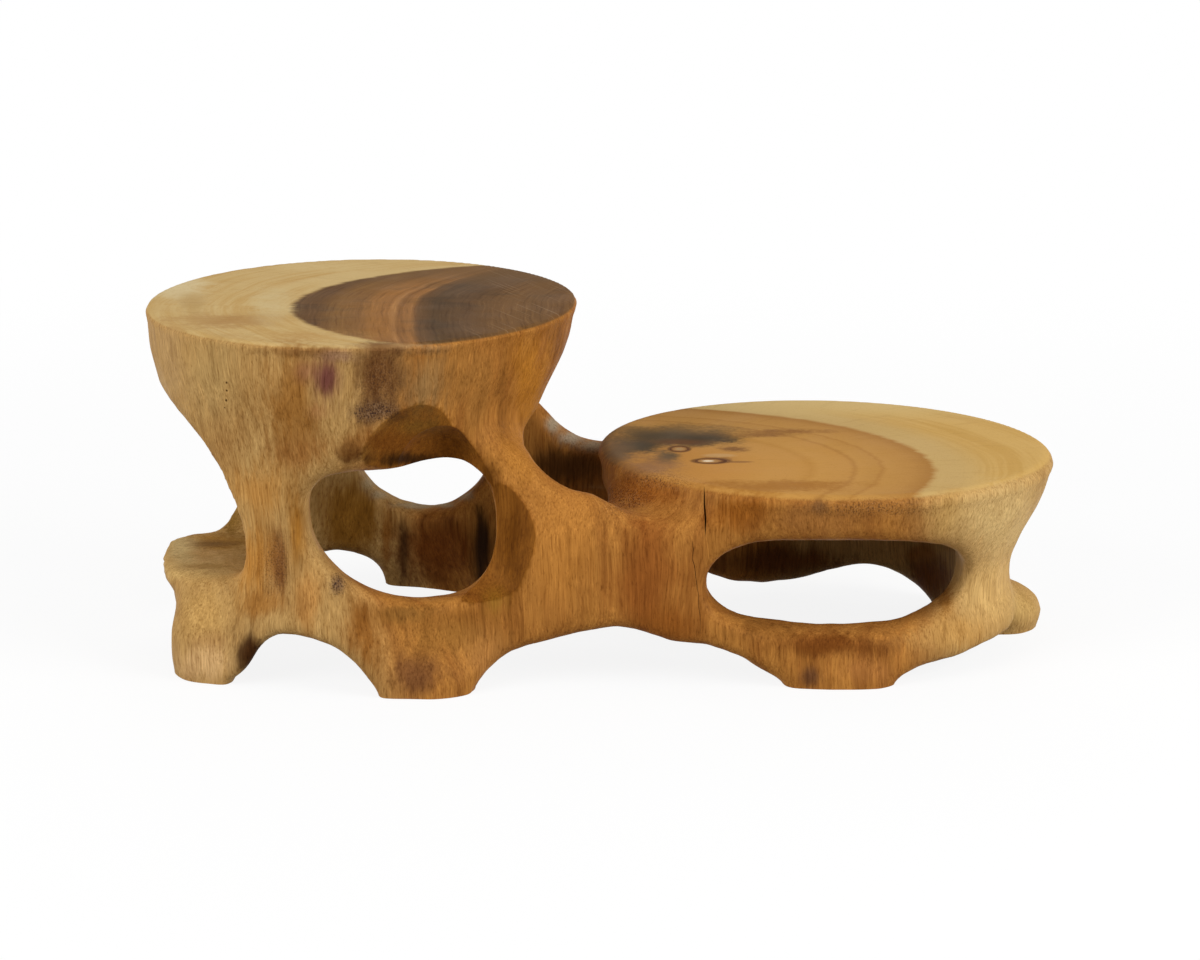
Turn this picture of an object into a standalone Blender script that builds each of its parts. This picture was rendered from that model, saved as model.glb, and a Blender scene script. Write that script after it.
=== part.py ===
"""Two-level stool carved from one cross-cut slice of a log, with the two knots that sit loose in it.

Metres, +Z up, +X from the high seat to the low seat, the front at -Y.
The carving is made the way it is cut: two turned seat blocks and the wall that ties them together,
then the hollow under both seats, the openings through the wall and the arches between the feet.
A remesh and smoothing passes fill the corners and round every arris over as gouge and sanding do,
and last of all the seats are turned true and the feet are sawn level.
"""

import math
from types import SimpleNamespace

import bmesh
import bpy
from mathutils import Matrix, Vector

# Seats: height of the top, full width along X, full depth along Y, centre, and how far
# the oval leans along X over its half depth.
HIGH = SimpleNamespace(top=0.242, width=0.297, depth=0.318, x=-0.166, y=0.001, lean=0.003, rim_round=0.004)
LOW = SimpleNamespace(top=0.138, width=0.317, depth=0.296, x=0.156, y=0.002, lean=-0.007, rim_round=0.008)
BOWL_TILT = 0.070  # how far the bowl under the high seat slips towards -X per unit of depth
FLANK_SQUEEZE = 0.90  # how much narrower the high seat's wall is on the side of the low seat

# Profiles from the axis outwards: shares of the seat's half width, and of the height of its top.
HIGH_BOWL_SHARES = (
    (1.01, 1.08), (1.0, 1.0), (0.977, 0.885), (0.915, 0.78), (0.86, 0.73), (0.80, 0.69),
    (0.72, 0.64), (0.67, 0.60), (0.64, 0.566), (0.61, 0.53), (0.585, 0.47),
)
HIGH_WALL_SHARES = (
    (1.01, 1.08), (1.0, 1.0), (0.98, 0.885), (0.95, 0.78), (0.917, 0.678),
    (0.885, 0.575), (0.865, 0.45), (0.865, 0.33), (0.89, 0.20), (0.945, 0.08),
    (0.975, 0.0), (0.975, -0.05),
)
LOW_WALL_SHARES = (
    (1.0, 1.10), (0.995, 0.91), (0.955, 0.775), (0.885, 0.623), (0.835, 0.50),
    (0.82, 0.384), (0.83, 0.319), (0.87, 0.145), (0.89, 0.0), (0.89, -0.087),
)
HIGH_HOLLOW_SHARES = (
    (0.30, 0.66), (0.44, 0.62), (0.52, 0.56), (0.56, 0.48), (0.61, 0.38), (0.66, 0.25),
    (0.73, 0.08), (0.785, 0.0), (0.785, -0.05),
)
LOW_HOLLOW_SHARES = (
    (0.40, 0.775), (0.54, 0.735), (0.605, 0.58), (0.62, 0.30), (0.65, 0.0), (0.65, -0.087),
)
LOW_SEAT_THICK = 0.031

# The wall between the seats. It stands square up to its shoulder and draws in above it.
BRIDGE = SimpleNamespace(
    left=-0.115, right=0.140, front=-0.134, back=0.132, waist=0.010, wall=0.040,
    shoulder=0.108, top=0.200, top_share=0.74,
)
BRIDGE_PLAN_SHARES = ((0.0, 0.84), (0.17, 0.97), (0.45, 1.0), (0.72, 1.0), (0.90, 0.93), (1.0, 0.80))
# The saddles between the seats, front and back: along the wall, and the height of its edge.
FRONT_SADDLE = (
    (-0.115, 0.190), (-0.072, 0.172), (-0.056, 0.160), (-0.044, 0.150), (-0.031, 0.1405),
    (-0.0195, 0.135), (0.0, 0.132), (0.140, 0.132),
)
BACK_SADDLE = (
    (-0.115, 0.190), (-0.072, 0.172), (-0.056, 0.158), (-0.044, 0.145), (-0.036, 0.134),
    (-0.026, 0.124), (-0.016, 0.1175), (-0.004, 0.115), (0.140, 0.115),
)
# The mouth between the seats: its outline in plan, and the arch that it makes under the high seat.
MOUTH_PLAN = (
    (-0.090, -0.080), (-0.055, -0.090), (-0.034, -0.098), (-0.0195, -0.100), (-0.007, -0.083),
    (0.0005, -0.045), (-0.001, 0.0), (0.001, 0.045), (0.006, 0.078), (-0.012, 0.091), (-0.050, 0.092),
    (-0.090, 0.080),
)
MOUTH_ARCH = (
    (-0.112, 0.138), (-0.085, 0.146), (-0.060, 0.152), (-0.030, 0.160), (0.0, 0.164),
    (0.030, 0.160), (0.060, 0.152), (0.085, 0.146), (0.112, 0.138),
)
# The scoop that the bridge has round the low seat: how far past its edge, and how far below its top.
SCOOP = ((0.056, -0.022), (0.047, 0.004), (0.029, 0.0195), (0.014, 0.025), (0.004, 0.020))

# The gap in the wall under the left of the high seat, seen from that side, as (Y, Z): the front and
# back ends of the ledge that it leaves, and its outline from the front end over the top to the back.
LEFT_GAP_HALF_ANGLE = math.radians(55)
LEFT_LEDGE = ((-0.080, 0.0690), (0.060, 0.0585))
LEFT_GAP = (
    (-0.099, 0.0685), (-0.108, 0.0735), (-0.111, 0.083), (-0.110, 0.100), (-0.105, 0.118),
    (-0.102, 0.132), (-0.099, 0.146), (-0.092, 0.160), (-0.079, 0.172), (-0.058, 0.182),
    (-0.030, 0.188), (0.0, 0.190), (0.035, 0.187), (0.064, 0.176), (0.082, 0.157),
    (0.091, 0.130), (0.090, 0.100), (0.076, 0.074),
)
# The solid shelf under that ledge: its outline in plan, and its underside.
LEFT_SHELF_PLAN = (
    (-0.300, -0.070), (-0.310, -0.030), (-0.317, 0.012), (-0.320, 0.050), (-0.308, 0.069),
    (-0.265, 0.068), (-0.236, 0.066), (-0.230, 0.0), (-0.236, -0.085), (-0.270, -0.098),
)
LEFT_SHELF = SimpleNamespace(bottom=0.055, top=0.074)

# Openings through the wall: centre and half sizes, seen from their own side.
FRONT_HOLE = SimpleNamespace(x=-0.134, z=0.112, half_width=0.063, half_height=0.048)
FRONT_HOLE_SHARES = (
    (-1.0, 0.18), (-0.93, 0.60), (-0.70, 0.80), (-0.20, 0.77), (0.30, 0.88), (0.64, 0.87),
    (0.92, 0.56), (1.0, -0.06), (0.90, -0.62), (0.64, -0.93), (0.19, -1.0), (-0.25, -0.90),
    (-0.62, -0.64), (-0.92, -0.20),
)
SILL_FALL = 0.19  # how steeply the front hole's sill falls towards the inside
BACK_HOLE = SimpleNamespace(x=-0.132, z=0.1125, half_width=0.051, half_height=0.050)
FRONT_SLOT = SimpleNamespace(x=0.158, z=0.071, half_width=0.089, half_height=0.033)
SLOT_SQUARENESS = 0.76
# The gouged hollow that the front hole sits in: centre and half sizes.
BROW = ((-0.108, -0.170, 0.120), (0.090, 0.054, 0.073))

# Arches between the feet, seen from the side that they open on: two ends and a height.
FRONT_LEFT_ARCH = (-0.256, -0.148, 0.039)
FRONT_LEFT_ARCH_SHARES = (
    (0.0, 0.0), (0.085, 0.13), (0.142, 0.26), (0.193, 0.46), (0.235, 0.69), (0.285, 0.90), (0.43, 1.0),
    (0.70, 0.86), (0.82, 0.63), (0.935, 0.25), (1.0, 0.0),
)
FRONT_MIDDLE_ARCH = (-0.090, 0.129, 0.041)
FRONT_MIDDLE_ARCH_SHARES = (
    (0.0, 0.0), (0.05, 0.16), (0.08, 0.39), (0.14, 0.63), (0.26, 0.77), (0.44, 1.0),
    (0.50, 0.97), (0.62, 0.75), (0.737, 0.70), (0.858, 0.43), (0.917, 0.19), (1.0, 0.0),
)
FRONT_RIGHT_ARCH = (0.193, 0.300, 0.015)
FRONT_RIGHT_ARCH_SHARES = ((0.0, 0.0), (0.1, 0.5), (0.3, 0.75), (0.55, 0.9), (0.75, 1.0), (1.0, 1.0))
BACK_LEFT_ARCH = (-0.240, -0.162, 0.030)
BACK_RIGHT_ARCH = (-0.070, 0.246, 0.042)
BACK_RIGHT_ARCH_SHARES = (
    (0.0, 0.0), (0.04, 0.6), (0.14, 0.95), (0.25, 1.0), (0.36, 0.80), (0.46, 0.44),
    (0.54, 0.25), (0.61, 0.19), (0.68, 0.24), (0.74, 0.38), (0.80, 0.56), (0.88, 0.62),
    (0.95, 0.38), (1.0, 0.0),
)
LEFT_SIDE_ARCH = (-0.066, 0.070, 0.030)
LOW_ARCH_SHARES = (
    (0.0, 0.0), (0.08, 0.62), (0.25, 0.95), (0.5, 1.0), (0.75, 0.9), (0.93, 0.55), (1.0, 0.0),
)

# Roots and toes that swell past the walls: centre and half sizes.
ROOTS = {
    "left_root": ((-0.264, 0.006, 0.068), (0.045, 0.066, 0.034)),
    "left_toe": ((-0.269, -0.082, 0.018), (0.027, 0.036, 0.046)),
    "rear_left_toe": ((-0.254, 0.100, 0.014), (0.030, 0.032, 0.042)),
    "front_toe": ((-0.118, -0.116, 0.0), (0.044, 0.035, 0.040)),
    "right_root": ((0.289, 0.030, 0.010), (0.029, 0.034, 0.021)),
}

# Knots that the tree grew round, loose in the low seat: centre, half sizes at the top and depth.
KNOTS = {
    "left_knot": SimpleNamespace(x=0.054, y=-0.010, half_width=0.0065, half_depth=0.0080, depth=0.016),
    "right_knot": SimpleNamespace(x=0.075, y=-0.045, half_width=0.0110, half_depth=0.0070, depth=0.018),
}
KNOT_TAPER_SHARE = 0.78
KNOT_GAP = 0.0003

# Working stock and how finely the form is resolved.
FLOOR_STOCK = 0.012
TOP_STOCK = 0.016
OVERRUN = 0.100
VOXEL = 0.0045
FILLET = 0.009
SMOOTH_PASSES = 14
KEEP_SHARE = 0.105
TURN_STEPS = 72
CURVE_STEPS = 5
BALL_STEPS = 32
MERGE = 1e-6


def clear_scene():
    for old in list(bpy.data.objects):
        bpy.data.objects.remove(old, do_unlink=True)


def new_collection(name):
    made = bpy.data.collections.new(name)
    bpy.context.scene.collection.children.link(made)
    return made


def object_of(name, bm, collection):
    bmesh.ops.recalc_face_normals(bm, faces=bm.faces)
    mesh = bpy.data.meshes.new(name)
    bm.to_mesh(mesh)
    bm.free()
    made = bpy.data.objects.new(name, mesh)
    collection.objects.link(made)
    return made


def cutter_of(name, bm):
    made = object_of(name, bm, bpy.data.collections["cutters"])
    made.hide_render = True
    made.display_type = "WIRE"
    return made


def turned(seat, path, tilt=0.0, squeeze=1.0):
    """A solid turned about a vertical axis from (radius, height) pairs, made oval and leaning like the seat.

    It can also tilt away from the low seat under its top, and be narrower on the low seat's side.
    """
    bm = bmesh.new()
    closed = [(0.0, path[0][1]), *path, (0.0, path[-1][1])]
    verts = [bm.verts.new((radius, 0.0, height)) for radius, height in closed]
    edges = [bm.edges.new(pair) for pair in zip(verts, verts[1:])]
    bmesh.ops.spin(
        bm, geom=verts + edges, axis=(0.0, 0.0, 1.0), angle=math.tau, steps=TURN_STEPS, use_merge=True
    )
    bmesh.ops.remove_doubles(bm, verts=bm.verts, dist=MERGE)
    for vert in bm.verts:
        if vert.co.x > 0.0:
            vert.co.x *= squeeze
    oval = Matrix.Identity(4)
    oval[0][1] = seat.lean / (seat.width / 2)
    oval[1][1] = seat.depth / seat.width
    oval[0][2] = tilt
    bmesh.ops.transform(bm, matrix=oval, verts=bm.verts)
    bmesh.ops.translate(bm, vec=(seat.x - tilt * seat.top, seat.y, 0.0), verts=bm.verts)
    return bm


def profile(seat, shares):
    return [(share * seat.width / 2, height * seat.top) for share, height in shares]


def smooth_closed(points):
    """A closed Catmull-Rom curve through the points."""
    made = []
    count = len(points)
    for i in range(count):
        a, b, c, d = (Vector(points[(i + k) % count]) for k in (-1, 0, 1, 2))
        for step in range(CURVE_STEPS):
            t = step / CURVE_STEPS
            linear = (c - a) * t
            square = (2 * a - 5 * b + 4 * c - d) * t**2
            cube = (3 * b - a - 3 * c + d) * t**3
            made.append(b + 0.5 * (linear + square + cube))
    return made


def smooth_plan(points):
    return [(point.x, point.y) for point in smooth_closed([(x, y, 0.0) for x, y in points])]


def prism(outline, start, end):
    """A closed outline of 3D points, swept between two offsets."""
    bm = bmesh.new()
    face = bm.faces.new([bm.verts.new(Vector(point) + Vector(start)) for point in outline])
    swept = bmesh.ops.extrude_face_region(bm, geom=[face])["geom"]
    moved = [item for item in swept if isinstance(item, bmesh.types.BMVert)]
    bmesh.ops.translate(bm, vec=Vector(end) - Vector(start), verts=moved)
    return bm


def plan_prism(outline, bottom, top):
    return prism([(x, y, 0.0) for x, y in outline], (0.0, 0.0, bottom), (0.0, 0.0, top))


def elevation_prism(outline, front, back, fall=0.0):
    """An outline seen from the front, swept along Y. It can fall towards the inside from the front wall's face."""
    start = (0.0, front, fall * (BRIDGE.front - front))
    end = (0.0, back, fall * (BRIDGE.front - back))
    return prism([(x, 0.0, z) for x, z in outline], start, end)


def boolean(body, other, operation):
    modifier = body.modifiers.new(f"{operation.lower()} {other.name}", "BOOLEAN")
    modifier.operation = operation
    modifier.object = other


def add(body, name, bm):
    boolean(body, cutter_of(name, bm), "UNION")


def cut(body, name, bm):
    boolean(body, cutter_of(name, bm), "DIFFERENCE")


def sector(seat, middle, half):
    """A wedge in plan, from the seat's axis to well outside it."""
    turns = (middle - half, middle - half / 2, middle, middle + half / 2, middle + half)
    rim = [(seat.x + seat.width * math.cos(turn), seat.y + seat.width * math.sin(turn)) for turn in turns]
    return [(seat.x, seat.y), *rim]


def shaped_outline(hole, shares):
    points = [(hole.x + hole.half_width * u, 0.0, hole.z + hole.half_height * v) for u, v in shares]
    return [(point.x, point.z) for point in smooth_closed(points)]


def rounded_outline(hole, power):
    """An ellipse for a power of 1, squarer the smaller the power."""
    points = []
    for i in range(TURN_STEPS // 2):
        turn = math.tau * i / (TURN_STEPS // 2)
        c, s = math.cos(turn), math.sin(turn)
        x = hole.x + hole.half_width * math.copysign(abs(c) ** power, c)
        z = hole.z + hole.half_height * math.copysign(abs(s) ** power, s)
        points.append((x, z))
    return points


def ellipsoid(centre, radii):
    bm = bmesh.new()
    bmesh.ops.create_uvsphere(bm, u_segments=BALL_STEPS, v_segments=BALL_STEPS // 2, radius=1.0)
    bmesh.ops.scale(bm, vec=radii, verts=bm.verts)
    bmesh.ops.translate(bm, vec=centre, verts=bm.verts)
    return bm


def arch_outline(ends, shares):
    left, right, height = ends
    below = -FLOOR_STOCK - OVERRUN
    curve = [(left + u * (right - left), height * v) for u, v in shares]
    return [(left, below), *curve, (right, below)]


def bridge_plan(inset):
    """The wall between the seats in plan: full at its ends and drawn in at the waist."""
    length = BRIDGE.right - BRIDGE.left
    points = []
    for side, shares in ((BRIDGE.front, BRIDGE_PLAN_SHARES), (BRIDGE.back, BRIDGE_PLAN_SHARES[::-1])):
        for u, v in shares:
            drawn_in = BRIDGE.waist * math.cos(math.pi * (u - 0.5)) ** 2 + inset
            points.append((BRIDGE.left + u * length, math.copysign(abs(side) * v - drawn_in, side)))
    return smooth_plan(points)


def bridge_block():
    """The solid wall between the seats, drawn in above its shoulder."""
    bm = plan_prism(bridge_plan(0.0), -FLOOR_STOCK, BRIDGE.shoulder)
    bm.faces.ensure_lookup_table()
    lid = max(bm.faces, key=lambda face: face.calc_center_median().z)
    swept = bmesh.ops.extrude_face_region(bm, geom=[lid])["geom"]
    bmesh.ops.delete(bm, geom=[lid], context="FACES")
    for item in swept:
        if isinstance(item, bmesh.types.BMVert):
            item.co.y *= BRIDGE.top_share
            item.co.z = BRIDGE.top
    return bm


def above(edge):
    """The outline of everything above an edge in elevation."""
    ceiling = HIGH.top + OVERRUN
    return [*edge, (edge[-1][0] + OVERRUN, ceiling), (edge[0][0] - OVERRUN, ceiling)]


def high_bowl():
    """The high seat's own bowl, which the wall hides except at the top of its flanks and in the left gap."""
    return turned(HIGH, profile(HIGH, HIGH_BOWL_SHARES), BOWL_TILT)


def rough_form(body):
    """The seats' blocks, the wall that ties them together and the roots."""
    for name, (centre, radii) in ROOTS.items():
        add(body, name, ellipsoid(centre, radii))
    add(body, "high_bowl", high_bowl())
    add(body, "low_wall", turned(LOW, profile(LOW, LOW_WALL_SHARES)))
    bridge = cutter_of("bridge", bridge_block())
    front = elevation_prism(above(FRONT_SADDLE), BRIDGE.front - OVERRUN, 0.0)
    cut(bridge, "front_saddle", front)
    cut(bridge, "back_saddle", elevation_prism(above(BACK_SADDLE), 0.0, BRIDGE.back + OVERRUN))
    scoop = [(LOW.width / 2 + past, LOW.top - below) for past, below in SCOOP]
    cut(bridge, "scoop", turned(LOW, scoop))
    boolean(body, bridge, "UNION")


def hollow_out(body):
    """The space under both seats, the passage between them, its mouth at the top, and the solid shelf at the left."""
    cut(body, "high_hollow", turned(HIGH, profile(HIGH, HIGH_HOLLOW_SHARES)))
    cut(body, "low_hollow", turned(LOW, profile(LOW, LOW_HOLLOW_SHARES)))
    cut(body, "passage", plan_prism(bridge_plan(BRIDGE.wall), -OVERRUN, LOW.top - LOW_SEAT_THICK))
    mouth = cutter_of("mouth", plan_prism(smooth_plan(MOUTH_PLAN), LOW.top / 2, HIGH.top))
    start, end = MOUTH_ARCH[0][0], MOUTH_ARCH[-1][0]
    arch = [(0.0, y, z) for y, z in ((start, -OVERRUN), *MOUTH_ARCH, (end, -OVERRUN))]
    boolean(mouth, cutter_of("mouth_arch", prism(arch, (HIGH.x, 0.0, 0.0), (LOW.x, 0.0, 0.0))), "INTERSECT")
    boolean(body, mouth, "DIFFERENCE")
    add(body, "left_shelf", plan_prism(smooth_plan(LEFT_SHELF_PLAN), LEFT_SHELF.bottom, LEFT_SHELF.top))


def open_left_end(body):
    """The gap under the left of the high seat, which stops at the seat's bowl and leaves a ledge."""
    wedge = plan_prism(sector(HIGH, math.pi, LEFT_GAP_HALF_ANGLE), 0.0, HIGH.top)
    gap = cutter_of("left_gap", wedge)
    outline = smooth_closed([(0.0, y, z) for y, z in (*LEFT_LEDGE[::-1], *LEFT_GAP)])
    side = prism(outline, (HIGH.x - HIGH.width, 0.0, 0.0), (HIGH.x, 0.0, 0.0))
    boolean(gap, cutter_of("left_gap_side", side), "INTERSECT")
    boolean(gap, cutter_of("left_gap_limit", high_bowl()), "DIFFERENCE")
    boolean(body, gap, "DIFFERENCE")


def open_wall(body):
    """The round holes and the slot through the wall, and the arches between the feet."""
    front, back = -HIGH.depth, HIGH.depth
    inside = BRIDGE.wall
    hole = shaped_outline(FRONT_HOLE, FRONT_HOLE_SHARES)
    cut(body, "front_hole", elevation_prism(hole, front, -inside))
    cut(body, "front_hole_sill", elevation_prism(hole, front, -inside, SILL_FALL))
    cut(body, "back_hole", elevation_prism(rounded_outline(BACK_HOLE, 1.0), inside, back))
    cut(body, "front_slot", elevation_prism(rounded_outline(FRONT_SLOT, SLOT_SQUARENESS), front, -inside))
    cut(body, "brow", ellipsoid(*BROW))
    for name, ends, shares, start, end in (
        ("front_left_arch", FRONT_LEFT_ARCH, FRONT_LEFT_ARCH_SHARES, front, -inside),
        ("front_middle_arch", FRONT_MIDDLE_ARCH, FRONT_MIDDLE_ARCH_SHARES, front, -inside),
        ("front_right_arch", FRONT_RIGHT_ARCH, FRONT_RIGHT_ARCH_SHARES, front, 0.0),
        ("back_left_arch", BACK_LEFT_ARCH, LOW_ARCH_SHARES, inside, back),
        ("back_right_arch", BACK_RIGHT_ARCH, BACK_RIGHT_ARCH_SHARES, inside, back),
    ):
        cut(body, name, elevation_prism(arch_outline(ends, shares), start, end))
    outline = [(0.0, y, z) for y, z in arch_outline(LEFT_SIDE_ARCH, LOW_ARCH_SHARES)]
    cut(body, "left_side_arch", prism(outline, (HIGH.x - HIGH.width, 0.0, 0.0), (HIGH.x, 0.0, 0.0)))


def resolve(body, name):
    remesh = body.modifiers.new(name, "REMESH")
    remesh.mode = "VOXEL"
    remesh.voxel_size = VOXEL


def sand(body):
    """Fills the inner corners, by swelling the form and shrinking it again, then rounds every arris."""
    for name, offset in (("swell", FILLET), ("shrink", -FILLET)):
        move = body.modifiers.new(name, "DISPLACE")
        move.mid_level = 0.0
        move.strength = offset
        resolve(body, f"{name} resolved")
    smooth = body.modifiers.new("sand", "SMOOTH")
    smooth.factor = 0.5
    smooth.iterations = SMOOTH_PASSES
    decimate = body.modifiers.new("thin out", "DECIMATE")
    decimate.ratio = KEEP_SHARE


def true_up(body):
    """Turns the seats' tops and rims true, and saws the feet level."""
    for name, seat in (("high_trim", HIGH), ("low_trim", LOW)):
        radius = seat.width / 2 - seat.rim_round
        rim = []
        for i in range(CURVE_STEPS + 1):
            turn = math.pi / 2 * i / CURVE_STEPS
            height = seat.top - seat.rim_round * (1 - math.sin(turn))
            rim.append((radius + seat.rim_round * math.cos(turn), height))
        outside = seat.width / 2 + TOP_STOCK
        path = [(outside, seat.top + 2 * TOP_STOCK), (outside, seat.top - 2 * seat.rim_round), *rim]
        cut(body, name, turned(seat, path))
    left, right = HIGH.x - HIGH.width, LOW.x + LOW.width
    floor = [(left, -HIGH.depth), (right, -HIGH.depth), (right, HIGH.depth), (left, HIGH.depth)]
    cut(body, "floor_trim", plan_prism(floor, -OVERRUN, 0.0))


def plug(knot, gap):
    """A tapered oval plug, wider at the top. A gap makes it the socket instead."""
    bm = bmesh.new()
    top, bottom = LOW.top + gap, LOW.top - knot.depth - gap
    half_width, half_depth = knot.half_width + gap, knot.half_depth + gap
    narrow = knot.half_width * KNOT_TAPER_SHARE + gap
    bmesh.ops.create_cone(
        bm, cap_ends=True, segments=BALL_STEPS, radius1=narrow, radius2=half_width, depth=top - bottom
    )
    bmesh.ops.scale(bm, vec=(1.0, half_depth / half_width, 1.0), verts=bm.verts)
    bmesh.ops.translate(bm, vec=(knot.x, knot.y, (top + bottom) / 2), verts=bm.verts)
    return bm


def wood(name, colour, roughness):
    material = bpy.data.materials.new(name)
    material.use_nodes = True
    principled = material.node_tree.nodes["Principled BSDF"]
    principled.inputs["Base Color"].default_value = (*colour, 1.0)
    principled.inputs["Roughness"].default_value = roughness
    return material


def build():
    clear_scene()
    parts = new_collection("two_level_stool")
    new_collection("cutters")
    wall = turned(HIGH, profile(HIGH, HIGH_WALL_SHARES), squeeze=FLANK_SQUEEZE)
    body = object_of("carved_body", wall, parts)
    rough_form(body)
    hollow_out(body)
    resolve(body, "form resolved")
    open_left_end(body)
    open_wall(body)
    resolve(body, "openings resolved")
    sand(body)
    true_up(body)
    body.data.materials.append(wood("oiled_wood", (0.42, 0.21, 0.08), 0.45))
    for name, knot in KNOTS.items():
        cut(body, f"{name}_socket", plug(knot, KNOT_GAP))
        made = object_of(name, plug(knot, 0.0), parts)
        made.data.materials.append(wood(f"{name}_wood", (0.50, 0.33, 0.17), 0.5))


build()
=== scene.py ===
"""Looks of the two-level stool: the carved body as one fine surface, its knots, its wood and a plain studio.

Metres, +Z up, +X from the high seat to the low seat, the front at -Y.
"""

import math
from collections import namedtuple
from contextlib import contextmanager

import bmesh
import bpy
import numpy as np
from mathutils import Matrix, Vector, noise
from mathutils.bvhtree import BVHTree


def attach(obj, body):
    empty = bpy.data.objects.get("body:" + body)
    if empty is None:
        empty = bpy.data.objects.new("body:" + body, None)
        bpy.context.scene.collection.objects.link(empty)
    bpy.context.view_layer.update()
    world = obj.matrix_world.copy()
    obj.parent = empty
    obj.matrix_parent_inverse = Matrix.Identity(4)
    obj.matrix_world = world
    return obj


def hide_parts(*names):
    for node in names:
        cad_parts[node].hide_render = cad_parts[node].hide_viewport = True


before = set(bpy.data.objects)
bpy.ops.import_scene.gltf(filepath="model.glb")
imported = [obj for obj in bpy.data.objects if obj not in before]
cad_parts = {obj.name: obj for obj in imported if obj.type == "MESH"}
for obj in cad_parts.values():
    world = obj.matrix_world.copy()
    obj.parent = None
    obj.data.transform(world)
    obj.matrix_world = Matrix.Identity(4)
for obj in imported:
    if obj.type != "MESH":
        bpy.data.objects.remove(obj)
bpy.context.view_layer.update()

# The photograph's camera: its image in pixels, its slope, where it stands and its sensor in millimetres.
PHOTO_WIDTH = 1200
CENTRE_X, CENTRE_Y = 602.0, 480.0
FOCAL_PIXELS = 3266.0
PITCH = math.radians(14.2)
EYE = Vector((0.0, -2.2245, 0.676))
SENSOR = 36.0

# Seats: height of the top, width, depth, centre, how far the oval leans, and the rounding of its rim.
Seat = namedtuple("Seat", "top width depth x y lean rim")
HIGH = Seat(top=0.242, width=0.297, depth=0.318, x=-0.166, y=0.001, lean=0.003, rim=0.004)
LOW = Seat(top=0.138, width=0.317, depth=0.296, x=0.156, y=0.002, lean=-0.007, rim=0.008)

# Knots in the low seat: centre, half sizes at the top and depth, then the colour of the core and how far off
# centre it lies, as a share of the half width.
Knot = namedtuple("Knot", "x y half_width half_depth depth core core_shift")
KNOTS = {
    "left_knot": Knot(0.054, -0.010, 0.0065, 0.0080, 0.016, (0.42, 0.26, 0.110), 0.0),
    "right_knot": Knot(0.075, -0.045, 0.0110, 0.0070, 0.018, (0.80, 0.66, 0.46), -0.18),
}
KNOT_TAPER = 0.78
KNOT_GAP = 0.0003


def pixel_ray(u, v):
    """The direction of the camera's ray through a pixel of the photograph."""
    x, y = (u - CENTRE_X) / FOCAL_PIXELS, (CENTRE_Y - v) / FOCAL_PIXELS
    c, s = math.cos(PITCH), math.sin(PITCH)
    return Vector((x, c + y * s, -s + y * c)).normalized()


def to_pixels(points):
    """The photograph's pixel of each point."""
    c, s = math.cos(PITCH), math.sin(PITCH)
    rel = points - np.array(EYE)
    depth = rel[:, 1] * c - rel[:, 2] * s
    up = rel[:, 1] * s + rel[:, 2] * c
    return CENTRE_X + FOCAL_PIXELS * rel[:, 0] / depth, CENTRE_Y - FOCAL_PIXELS * up / depth


# Form: the carved body as one fine surface.

VOXEL = 0.0030
WELD = 0.00001
FLOOR_TOUCH = 0.00002
# How far the feet grow before they are sawn, and how far past its knot a socket is filled.
FOOT_STOCK = 0.008
SOCKET_FILL = 4 * KNOT_GAP
KNOT_SIDES = 48
# Smoothing: how many passes the form takes, and the share of the way to its neighbours at each turn.
RELAX_PASSES = 12
RELAX_TURNS = (0.5, -0.52)
# A point this near to a seat's true surface is put on it: its rim, its top and the wall under the rim.
RIM_REACH, TOP_REACH, WALL_REACH = 0.004, 0.0025, 0.003
# The slight waves of hand carving: depth, the noises with their shares, and the height where they deepen.
CARVE_DEPTH = 0.0005
CARVE_WAVES = (((38.0, 38.0, 24.0), 1.0), ((90.0, 90.0, 45.0), 0.5))
LOW_CARVE_HEIGHT = 0.055
EVEN_FACES = math.radians(40)


def link(name, mesh):
    made = bpy.data.objects.new(name, mesh)
    bpy.context.scene.collection.objects.link(made)
    return made


def mesh_of(name, bm):
    mesh = bpy.data.meshes.new(name)
    bm.to_mesh(mesh)
    bm.free()
    return mesh


@contextmanager
def edited(mesh):
    """The mesh, opened for editing and written back afterwards."""
    bm = bmesh.new()
    bm.from_mesh(mesh)
    yield bm
    bm.to_mesh(mesh)
    bm.free()


def evaluated_mesh(obj):
    graph = bpy.context.evaluated_depsgraph_get()
    return bpy.data.meshes.new_from_object(obj.evaluated_get(graph), depsgraph=graph)


def of_type(items, kind):
    return [item for item in items if isinstance(item, kind)]


def knot_solid(bm, knot, gap, top):
    """A knot's tapered solid, larger by the gap all round, that reaches up to the top."""
    floor = LOW.top - knot.depth - gap
    made = bmesh.ops.create_cone(
        bm, cap_ends=True, segments=KNOT_SIDES, radius1=knot.half_width * KNOT_TAPER + gap,
        radius2=knot.half_width + gap, depth=top - floor,
    )["verts"]
    bmesh.ops.scale(bm, vec=(1.0, (knot.half_depth + gap) / (knot.half_width + gap), 1.0), verts=made)
    bmesh.ops.translate(bm, vec=(knot.x, knot.y, (top + floor) / 2), verts=made)


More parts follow.
